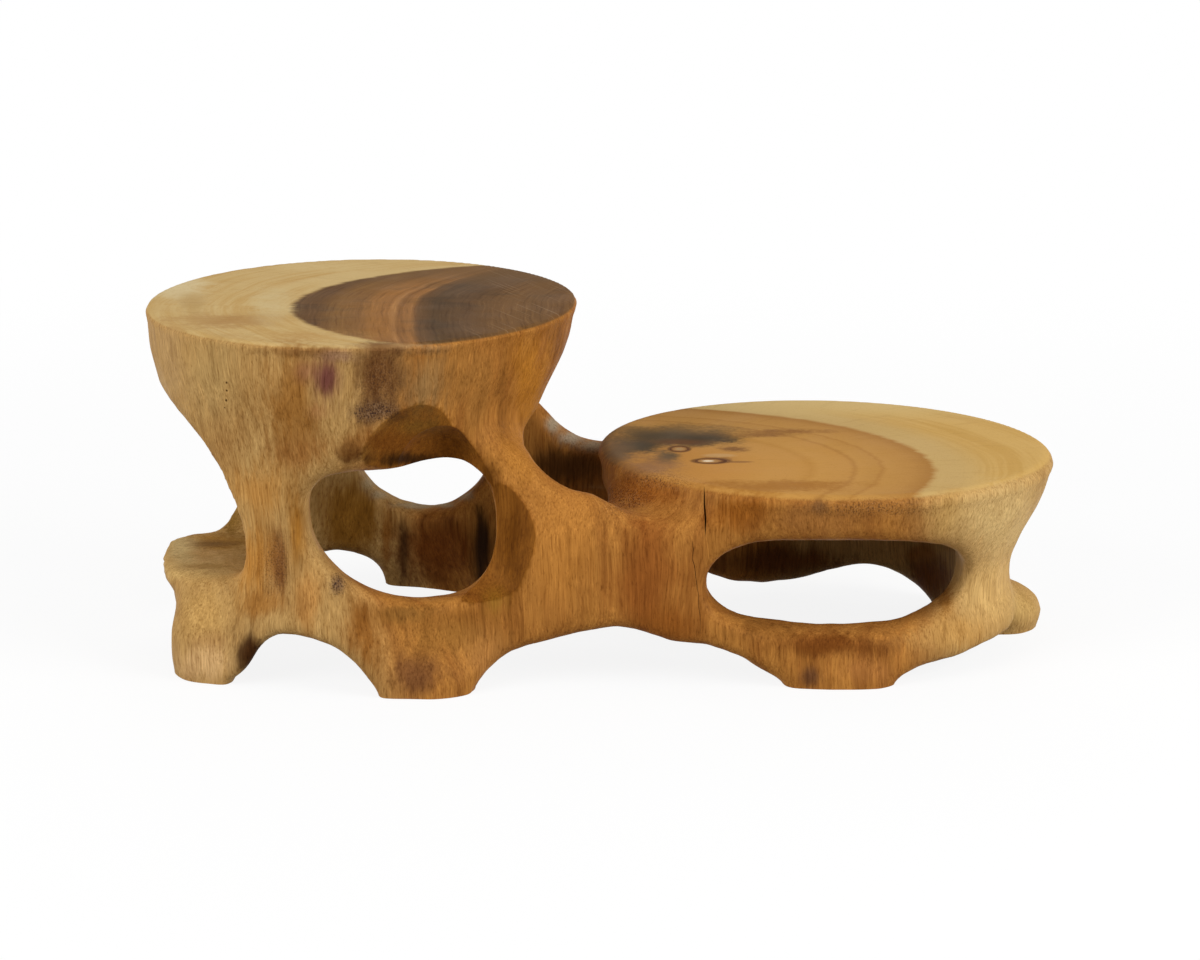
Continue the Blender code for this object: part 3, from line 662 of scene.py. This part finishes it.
# The low seat's figure, from the trunk's middle outwards, as shares of its heartwood's oval.
LOW_BANDS = (
    (0.00, (0.43, 0.200, 0.045)), (0.36, (0.47, 0.220, 0.048)), (0.50, (0.49, 0.245, 0.058)),
    (0.60, (0.48, 0.240, 0.056)), (0.625, (0.45, 0.220, 0.048)), (0.655, (0.49, 0.250, 0.060)),
    (0.745, (0.47, 0.235, 0.056)), (0.760, (0.40, 0.190, 0.044)), (0.775, (0.47, 0.240, 0.058)),
    (0.830, (0.44, 0.220, 0.052)), (0.840, (0.40, 0.190, 0.044)), (0.855, (0.46, 0.235, 0.058)),
    (0.930, (0.43, 0.215, 0.054)), (0.985, (0.36, 0.170, 0.040)), (1.00, (0.38, 0.185, 0.048)),
)
LOW_SAP = ((0.57, 0.355, 0.112), (0.51, 0.300, 0.080))
SAP_TONE_FADE = (0.40, 0.62)
# The pale band next to the low seat's heartwood, and its pale back.
PALE_BAND_FADE, PALE_BAND_SHARE, PALE_BAND = (1.20, 1.06), 0.80, (0.50, 0.335, 0.130)
PALE_BACK_FADE, PALE_BACK = (0.06, 0.14), (0.60, 0.42, 0.17)
# Ovals on the low seat: the dark ring round each knot, as a share of the knot, then a pale smear between the
# knots and the right knot's dark tail, with centre and half sizes.
KNOT_RING_FADE, KNOT_RING_SHARE, KNOT_RING = (1.45, 1.12), 0.85, (0.13, 0.050, 0.014)
LOW_MARKS = (
    ((0.081, -0.029, 0.012, 0.0055), (1.25, 0.6), 0.75, (0.50, 0.295, 0.115)),
    ((0.093, -0.0475, 0.011, 0.0030), (1.3, 0.6), 0.7, (0.22, 0.10, 0.032)),
)

# End grain shows on the seats' tops, and long grain on everything else: how far under each top it fades.
HIGH_SKIN, LOW_SKIN = (0.0022, 0.0008), (0.0040, 0.0012)
LOW_SKIN_FADE = (1.01, 0.985)
SAP_SIDE, SAP_SIDE_FADE = ((0.46, 0.275, 0.095), (0.36, 0.195, 0.058)), (0.38, 0.66)
HEART_SIDE, HEART_SIDE_FADE = ((0.41, 0.175, 0.035), (0.27, 0.100, 0.019)), (0.36, 0.66)
SIDE_EDGE_FADE = (1.10, 0.94)

# Fibres run up the trunk, so they streak the walls and dot the tops.
FIBRE_DRIFT = (16.0, (0.009, 0.009, 0.0))
FIBRES = {
    "fine": ((950.0, 950.0, 40.0), 2.0, 0.65),
    "streak": ((240.0, 240.0, 7.0), 3.0, 0.6),
    "dash": ((950.0, 950.0, 240.0), 1.0, 0.5),
    "cloud": ((70.0, 70.0, 30.0), 3.0, 0.6),
}
DASH_FADE = (0.60, 0.70)
DARK, BRIGHT = (0.58, 0.50, 0.40), (1.30, 1.32, 1.36)
# What the fibres do to the walls' colour: fibre, fade, share and tint.
FIBRE_TINTS = (
    ("fine", (0.50, 0.72), 0.75, DARK),
    ("fine", (0.48, 0.30), 0.75, BRIGHT),
    ("streak", (0.52, 0.70), 0.42, DARK),
    ("streak", (0.46, 0.30), 0.42, BRIGHT),
    ("dash", DASH_FADE, 0.42, DARK),
    ("cloud", (0.48, 0.70), 0.35, DARK),
)
PORE_FADE, PORE_SHARE = (0.52, 0.74), 0.28
RAY_FADE, RAY_SHARE = (0.56, 0.72), 0.14
# Stains and painted light break up along the fibres where they are half strong.
LOOSENESS, CLOUD_BREAK, SPOT_FADE = 4.0, 0.8, (0.02, 1.02)
GRIT = ((1000.0, 1000.0, 800.0), 1.0, 0.5)
DARK_GRIT_FADE, DARK_GRIT = (0.55, 0.63), (0.030, 0.016, 0.014)
PALE_GRIT_FADE, PALE_GRIT_SHARE, PALE_GRIT = (0.42, 0.36), 0.35, (0.36, 0.22, 0.12)
# Painted shade: the deeper a point lies in a hollow, the darker.
RECESS_SHADE_FADE, RECESS_SHADE_TINT = (0.45, 0.95), (0.48, 0.37, 0.26)
# The gouge's bevel darker: partly its own colour, partly painted shade.
SWEPT_TONE_AND_SHADE = (0.62, 0.55, 0.36)

# Sanded walls shine a little, and the tops and all that faces up are matt. A bump is its strength and depth.
ROUGH_NOISE, ROUGH_FADE = (34.0, 3.0), (0.3, 0.7, 0.50, 0.62)
MATT_FADE, MATT = (0.4, 0.9), 0.28
FIBRE_HEIGHTS, DASH_HEIGHT = 0.5, -0.35
FIBRE_BUMP, TOP_SMOOTH = (0.3, 0.0006), 0.85

# The knots' end grain: the bands round the core, with the knot's edge at KNOT_BAND_SHARE, then the rings.
KNOT_BANDS = (
    (0.34, (0.42, 0.23, 0.080)), (0.56, (0.34, 0.165, 0.050)), (0.70, (0.16, 0.062, 0.018)),
    (0.80, (0.09, 0.032, 0.010)),
)
KNOT_CORE_SHARE, KNOT_BAND_SHARE, KNOT_EDGE_FADE = 0.20, 0.8, (0.6, 0.9)
KNOT_DRIFT = (260.0, (0.0022, 0.0022, 0.0))
KNOT_RINGS, KNOT_RINGS_FADE, KNOT_RINGS_TINT = ((16.0, 1.0, 1.0), 2.0, 0.6), (0.50, 0.66), (0.70, 0.62, 0.55)
KNOT_ROUGHNESS, KNOT_BUMP = 0.85, (0.4, 0.0004)


class Graph:
    """A short way to write the nodes of a material or a world."""

    def __init__(self, owner):
        owner.use_nodes = True
        self.owner = owner
        self.nodes = owner.node_tree.nodes
        self.links = owner.node_tree.links

    def put(self, socket, value):
        if isinstance(value, bpy.types.NodeSocket):
            self.links.new(value, socket)
        elif socket.type == "RGBA" and not isinstance(value, (int, float)):
            socket.default_value = (*value, 1.0)
        else:
            socket.default_value = value

    def node(self, kind, *values, **settings):
        """A new node with its settings, and the values on its inputs in order."""
        made = self.nodes.new(kind)
        for name, setting in settings.items():
            setattr(made, name, setting)
        for socket, value in zip(made.inputs, values):
            self.put(socket, value)
        return made

    def maths(self, operation, *values):
        return self.node("ShaderNodeMath", *values, operation=operation).outputs[0]

    def vector(self, operation, *values):
        return self.node("ShaderNodeVectorMath", *values, operation=operation).outputs[0]

    def add(self, *values):
        total = values[0]
        for value in values[1:]:
            total = self.maths("ADD", total, value)
        return total

    def times(self, *values):
        total = values[0]
        for value in values[1:]:
            total = self.maths("MULTIPLY", total, value)
        return total

    def less(self, one, two):
        return self.maths("SUBTRACT", one, two)

    def combine(self, x, y, z):
        return self.node("ShaderNodeCombineXYZ", x, y, z).outputs[0]

    def split(self, vector):
        return self.node("ShaderNodeSeparateXYZ", vector).outputs

    def place(self):
        """The place on the object, in metres."""
        return self.node("ShaderNodeTexCoord").outputs["Object"]

    def noise(self, vector, scale, detail, roughness=0.5, out="Fac"):
        node = self.node("ShaderNodeTexNoise")
        given = {"Vector": vector, "Scale": scale, "Detail": detail, "Roughness": roughness}
        for name, value in given.items():
            self.put(node.inputs[name], value)
        return node.outputs[out]

    def stretched(self, vector, look):
        """Noise with its own scale along each axis."""
        scales, detail, roughness = look
        return self.noise(self.vector("MULTIPLY", vector, scales), 1.0, detail, roughness)

    def drift(self, place, scale, reach, detail=2.0):
        """The place, moved by smooth noise, as far along each axis as the reach says."""
        moved = self.vector("SUBTRACT", self.noise(place, scale, detail, out="Color"), (0.5, 0.5, 0.5))
        return self.vector("ADD", place, self.vector("MULTIPLY", moved, reach))

    def fade(self, value, low, high, start=0.0, end=1.0):
        """A smooth step from the start to the end, while the value goes from low to high."""
        values = (value, low, high, start, end)
        return self.node("ShaderNodeMapRange", *values, interpolation_type="SMOOTHSTEP").outputs[0]

    def mix(self, share, one, two, blend="MIX"):
        node = self.node("ShaderNodeMix", data_type="RGBA", blend_type=blend)
        for key, value in (("Factor", share), (6, one), (7, two)):
            self.put(node.inputs[key], value)
        return node.outputs[2]

    def tint(self, share, colour, factor):
        """The colour, multiplied by the factor as far as the share says."""
        return self.mix(share, colour, self.mix(1.0, colour, factor, "MULTIPLY"))

    def ramp(self, value, stops):
        node = self.node("ShaderNodeValToRGB", value)
        marks = node.color_ramp.elements
        for mark, (place, colour) in zip((marks[0], marks[-1]), (stops[0], stops[-1])):
            mark.position = place
            mark.color = (*colour, 1.0)
        for place, colour in stops[1:-1]:
            marks.new(place).color = (*colour, 1.0)
        return node.outputs["Color"]

    def attribute(self, name, out="Fac"):
        return self.node("ShaderNodeAttribute", attribute_name=name).outputs[out]

    def oval(self, x, y, centre_x, centre_y, half_x, half_y):
        """How far out of an oval a place is, 1 at its edge, and the turn about its centre."""
        across = self.maths("DIVIDE", self.less(x, centre_x), half_x)
        along = self.maths("DIVIDE", self.less(y, centre_y), half_y)
        share = self.maths("SQRT", self.add(self.times(across, across), self.times(along, along)))
        return share, self.maths("ARCTAN2", along, across)

    def surface(self, colour, rough, height, bump):
        """Finishes a material with its colour, roughness and the height, strength and depth of its bump."""
        raised = self.node("ShaderNodeBump")
        strength, distance = bump
        for name, value in (("Strength", strength), ("Distance", distance), ("Height", height)):
            self.put(raised.inputs[name], value)
        shader = self.nodes["Principled BSDF"].inputs
        shader["Specular IOR Level"].default_value = SHEEN
        self.put(shader["Base Color"], colour)
        self.put(shader["Roughness"], rough)
        self.put(shader["Normal"], raised.outputs["Normal"])


def high_top(g, place, x, y, heart, tone):
    """The high seat's end grain: cream sapwood and banded dark heartwood."""
    moved_x, moved_y, _ = g.split(g.drift(place, *BAND_DRIFT))
    past_middle = g.less(moved_y, BAND_MIDDLE)
    behind, before = g.maths("MAXIMUM", past_middle, 0.0), g.maths("MINIMUM", past_middle, 0.0)
    bend = g.add(g.times(behind, behind, BAND_BEND_BEHIND), g.times(before, before, BAND_BEND_BEFORE))
    bent = g.less(moved_x, bend)
    bands = g.ramp(g.maths("DIVIDE", g.less(bent, HIGH_BAND_START), HIGH_BAND_LENGTH), HIGH_BANDS)
    lines = g.stretched(g.combine(bent, moved_y, 0.0), BAND_LINES)
    for start, full, tint in BAND_LINE_TINTS:
        bands = g.tint(g.fade(lines, start, full), bands, tint)
    bands = g.tint(g.fade(g.stretched(place, BLOTCHES), *BLOTCH_FADE), bands, BLOTCH_TINT)
    bands = g.mix(g.times(g.fade(y, *HEART_BACK_FADE), HEART_BACK_SHARE), bands, HEART_BACK)
    scratch = g.stretched(g.combine(g.add(x, g.times(y, SCRATCH_SLANT)), y, 0.0), SCRATCHES)
    scratched = g.times(g.fade(scratch, *SCRATCH_FADE), g.fade(x, *SCRATCHED_FADE), SCRATCH_SHARE)
    bands = g.mix(scratched, bands, SCRATCH)
    sap = g.mix(g.fade(tone, *SAP_TONE_FADE), *HIGH_SAP)
    return g.mix(heart, sap, bands)


def low_top(g, x, y, edge, heart, tone):
    """The low seat's end grain: tan heartwood with growth lines, dark rings round the knots, and sapwood."""
    sap = g.mix(g.fade(tone, *SAP_TONE_FADE), *LOW_SAP)
    sap = g.mix(g.times(g.fade(edge, *PALE_BAND_FADE), PALE_BAND_SHARE), sap, PALE_BAND)
    sap = g.mix(g.fade(y, *PALE_BACK_FADE), sap, PALE_BACK)
    colour = g.mix(heart, sap, g.ramp(edge, LOW_BANDS))
    rings = [
        ((knot.x, knot.y, knot.half_width, knot.half_depth), KNOT_RING_FADE, KNOT_RING_SHARE, KNOT_RING)
        for knot in KNOTS.values()
    ]
    for oval, fade, share, mark in (*rings, *LOW_MARKS):
        out, _ = g.oval(x, y, *oval)
        colour = g.mix(g.times(g.fade(out, *fade), share), colour, mark)
    return colour


def on_top(g, z, seat, skin):
    """1 at the height of a seat's top, and 0 under its skin."""
    return g.fade(z, *(seat.top - depth for depth in skin))


def oiled_wood():
    """Wood as it lies in the trunk: end grain on the tops, long grain below, then stains and wear."""
    g = Graph(bpy.data.materials.new("oiled_wood"))
    place = g.place()
    x, y, z = g.split(place)

    # growth rings, a little uneven, wider towards the low seat
    low_end = g.fade(x, *LOW_END_FADE)
    trunk = [g.add(one, g.times(low_end, two - one)) for one, two in zip(HIGH_HEART, LOW_HEART)]
    warped_x, warped_y, _ = g.split(g.drift(place, *RING_DRIFT))
    ring, turn = g.oval(warped_x, warped_y, *trunk)
    true_ring, _ = g.oval(x, y, *trunk)
    feathered = g.times(g.less(g.stretched(place, FEATHER), 0.5), FEATHER_SHARE)
    edge = g.add(true_ring, feathered, g.times(g.less(ring, true_ring), RING_DRIFT_SHARE))
    heart = g.fade(edge, *HEART_FADE)
    grown = g.combine(ring, turn, z)
    wide, lines = g.stretched(grown, WIDE_RINGS), g.stretched(grown, FINE_RINGS)
    tone = g.add(g.times(wide, WIDE_SHARE), g.times(lines, 1.0 - WIDE_SHARE))
    rays = g.stretched(g.combine(turn, ring, z), RAYS)

    # end grain on the seats, and long grain on everything else
    low_share, _ = g.oval(x, y, LOW.x, LOW.y, LOW.width / 2, LOW.depth / 2)
    low_surface = g.times(on_top(g, z, LOW, LOW_SKIN), g.fade(low_share, *LOW_SKIN_FADE))
    top = g.maths("MAXIMUM", on_top(g, z, HIGH, HIGH_SKIN), low_surface)
    side = g.less(1.0, top)
    end_grain = g.mix(low_end, high_top(g, place, x, y, heart, tone), low_top(g, x, y, edge, heart, tone))
    sap_side = g.mix(g.fade(tone, *SAP_SIDE_FADE), *SAP_SIDE)
    heart_side = g.mix(g.fade(tone, *HEART_SIDE_FADE), *HEART_SIDE)
    long_grain = g.mix(g.fade(ring, *SIDE_EDGE_FADE), sap_side, heart_side)
    colour = g.mix(top, long_grain, end_grain)

    # stains, painted shade and painted highlights under the fibres, then speckles, painted shade in the
    # hollows and the darker bevel over them
    along = g.drift(place, *FIBRE_DRIFT)
    fibres = {name: g.stretched(along, look) for name, look in FIBRES.items()}
    colour = stained_and_painted(g, colour, fibres)
    for name, fade, share, tint in FIBRE_TINTS:
        colour = g.tint(g.times(g.fade(fibres[name], *fade), side, share), colour, tint)
    pores = g.times(g.fade(fibres["fine"], *PORE_FADE), PORE_SHARE)
    pores = g.add(pores, g.times(g.fade(rays, *RAY_FADE), RAY_SHARE))
    colour = speckled_and_shaded(g, g.tint(g.times(pores, top), colour, DARK), place)

    upward = g.split(g.node("ShaderNodeNewGeometry").outputs["Normal"])[2]
    matt = g.times(g.maths("MAXIMUM", top, g.fade(upward, *MATT_FADE)), MATT)
    rough = g.add(g.fade(g.noise(place, *ROUGH_NOISE), *ROUGH_FADE), matt)
    height = g.times(g.add(fibres["fine"], fibres["streak"]), FIBRE_HEIGHTS)
    height = g.add(height, g.times(g.fade(fibres["dash"], *DASH_FADE), DASH_HEIGHT))
    g.surface(colour, rough, g.times(height, g.less(1.0, g.times(top, TOP_SMOOTH))), FIBRE_BUMP)
    return g.owner


def stained_and_painted(g, colour, fibres):
    """The colour with the stains, painted shade and painted highlights over it, broken up along the fibres.
    """
    strength = g.attribute("stain_and_painted_light_strength")
    loose = g.times(strength, g.less(1.0, strength), LOOSENESS)
    broken = g.add(g.less(fibres["streak"], 0.5), g.times(g.less(fibres["cloud"], 0.5), CLOUD_BREAK))
    cover = g.fade(g.add(strength, g.times(broken, loose)), *SPOT_FADE)
    return g.mix(cover, colour, g.attribute("stain_and_painted_light", "Color"))


def speckled_and_shaded(g, colour, place):
    """The colour with speckles, painted shade in the hollows, and darker where the gouge cut last, which is
    partly the bevel's own colour and partly painted shade.
    """
    grit, amount = g.stretched(place, GRIT), g.attribute("speckle")
    colour = g.mix(g.times(g.fade(grit, *DARK_GRIT_FADE), amount), colour, DARK_GRIT)
    colour = g.mix(g.times(g.fade(grit, *PALE_GRIT_FADE), amount, PALE_GRIT_SHARE), colour, PALE_GRIT)
    # painted shade in the hollows
    colour = g.tint(g.fade(g.attribute("recess_shade"), *RECESS_SHADE_FADE), colour, RECESS_SHADE_TINT)
    # the bevel darker, partly its own colour and partly painted shade
    return g.tint(g.attribute("swept"), colour, SWEPT_TONE_AND_SHADE)


def knot_wood(name):
    """A knot's end grain: a pale core, darker towards its edge, with fine rings."""
    knot = KNOTS[name]
    g = Graph(bpy.data.materials.new(name + "_wood"))
    x, y, _ = g.split(g.drift(g.place(), *KNOT_DRIFT))
    out, _ = g.oval(x, y, knot.x, knot.y, knot.half_width, knot.half_depth)
    core_x = knot.x + knot.core_shift * knot.half_width
    core, _ = g.oval(x, y, core_x, knot.y, knot.half_width, knot.half_depth)
    out = g.maths("MAXIMUM", core, g.times(out, g.fade(out, *KNOT_EDGE_FADE)))
    stops = ((0.0, knot.core), (KNOT_CORE_SHARE, knot.core), *KNOT_BANDS)
    rings = g.stretched(g.combine(out, 0.0, 0.0), KNOT_RINGS)
    colour = g.ramp(g.times(out, KNOT_BAND_SHARE), stops)
    colour = g.tint(g.fade(rings, *KNOT_RINGS_FADE), colour, KNOT_RINGS_TINT)
    g.surface(colour, KNOT_ROUGHNESS, rings, KNOT_BUMP)
    return g.owner


# Studio.

WHITE = (1.0, 1.0, 1.0)
WORLD_LIGHT = 0.30
FLOOR_SIZE, FLOOR_GAP = 9.0, 0.0002
# The floor's tone to the camera and to the light that bounces off it, and how much it glows near the object.
FLOOR_TONE, FLOOR_BOUNCE, FLOOR_GLOW = 0.90, 0.40, 0.88
# Distances from the object between which the floor turns quite white.
WHITE_FROM = (0.5, 1.5)
# Soft lamps: place, size and power.
LAMPS = {
    "key": ((2.1, -1.2, 1.1), 1.5, 54.0),
    "fill": ((-1.9, -1.5, 1.2), 1.6, 48.0),
    "over": ((0.0, -0.2, 2.1), 1.8, 6.0),
    "back": ((0.1, 1.9, 0.9), 1.2, 9.0),
}
LAMPS_AIM = Vector((0.0, 0.0, 0.12))


def directly_seen(g):
    """1 for what the camera, a mirror or glass sees, and 0 for the light that falls on the object."""
    path = g.node("ShaderNodeLightPath").outputs
    seen = g.maths("MAXIMUM", path["Is Camera Ray"], path["Is Glossy Ray"])
    return g.maths("MAXIMUM", seen, path["Is Transmission Ray"])


def white_world():
    """A white background that lights the object only a little."""
    world = bpy.data.worlds.new("studio")
    bpy.context.scene.world = world
    g = Graph(world)
    light = g.nodes["Background"]
    g.put(light.inputs["Color"], WHITE)
    g.put(light.inputs["Strength"], WORLD_LIGHT)
    white = g.node("ShaderNodeBackground", WHITE)
    swap = g.node("ShaderNodeMixShader", directly_seen(g), light.outputs[0], white.outputs[0])
    g.put(g.nodes["World Output"].inputs["Surface"], swap.outputs[0])


def pale_floor():
    """A pale floor that looks white, keeps a faint shadow near the object and throws less light back up."""
    bm = bmesh.new()
    bmesh.ops.create_grid(bm, x_segments=1, y_segments=1, size=FLOOR_SIZE)
    floor = link("floor", mesh_of("floor", bm))
    floor.location.z = -FLOOR_GAP
    g = Graph(bpy.data.materials.new("pale_floor"))
    seen = directly_seen(g)
    cover = g.node("ShaderNodeBsdfDiffuse", g.mix(seen, (FLOOR_BOUNCE,) * 3, (FLOOR_TONE,) * 3))
    glow = g.node("ShaderNodeEmission", WHITE)
    far = g.node("ShaderNodeVectorMath", g.place(), operation="LENGTH").outputs["Value"]
    share = g.times(seen, g.fade(far, *WHITE_FROM, FLOOR_GLOW, 1.0))
    swap = g.node("ShaderNodeMixShader", share, cover.outputs[0], glow.outputs[0])
    g.put(g.nodes["Material Output"].inputs["Surface"], swap.outputs[0])
    g.owner.cycles.emission_sampling = "NONE"
    floor.data.materials.append(g.owner)


def lamps():
    for name, (place, size, power) in LAMPS.items():
        lamp = bpy.data.lights.new(name, "AREA")
        lamp.size = size
        lamp.energy = power
        made = bpy.data.objects.new(name, lamp)
        made.location = place
        made.rotation_euler = (LAMPS_AIM - Vector(place)).to_track_quat("-Z", "Y").to_euler()
        bpy.context.scene.collection.objects.link(made)


def photo_camera():
    camera = bpy.data.objects.new("camera", bpy.data.cameras.new("camera"))
    camera.location = EYE
    camera.rotation_euler = (math.pi / 2 - PITCH, 0.0, 0.0)
    camera.data.sensor_width = SENSOR
    camera.data.lens = FOCAL_PIXELS / PHOTO_WIDTH * SENSOR
    camera.data.shift_x = -(CENTRE_X - PHOTO_WIDTH / 2) / PHOTO_WIDTH
    bpy.context.scene.collection.objects.link(camera)
    bpy.context.scene.camera = camera
    bpy.context.scene.view_settings.view_transform = "Standard"


# Build.


def carved_form():
    """The smoothed body with true seats, sawn feet, the gouge's bevel and the small cuts, weathered and given
    painted shade and painted highlights.
    """
    mesh = rough_body()
    points, edges = arrays(mesh)
    points = relax(points, edges, RELAX_PASSES)
    place_points(mesh, points)
    keep = np.zeros(len(points), bool)
    for seat in (HIGH, LOW):
        keep |= true_seat(seat, points)[1]
    points = carve(points, normals_of(mesh), keep)
    for seat in (HIGH, LOW):
        points, _ = true_seat(seat, points)
    place_points(mesh, points)
    saw_feet(mesh)
    for sweep in SWEEPS:
        mesh = cut_away(mesh, sweep_cutter(sweep))
    tree = tree_of(mesh)
    mesh = cut_away(mesh, small_cutter(tree))
    weather_and_shade(mesh, tree)
    mesh.name = "carved_wood"
    mesh.shade_smooth()
    mesh.set_sharp_from_angle(angle=EVEN_FACES)
    keep_ridge_crisp(mesh)
    return mesh


def dress(owner, material):
    owner.data.materials.clear()
    owner.data.materials.append(material)


def carved_wood():
    body = link("carved_wood", carved_form())
    dress(body, oiled_wood())
    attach(body, "root")
    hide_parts("carved_body")


carved_wood()
for knot_name in KNOTS:
    dress(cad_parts[knot_name], knot_wood(knot_name))
white_world()
pale_floor()
lamps()
photo_camera()
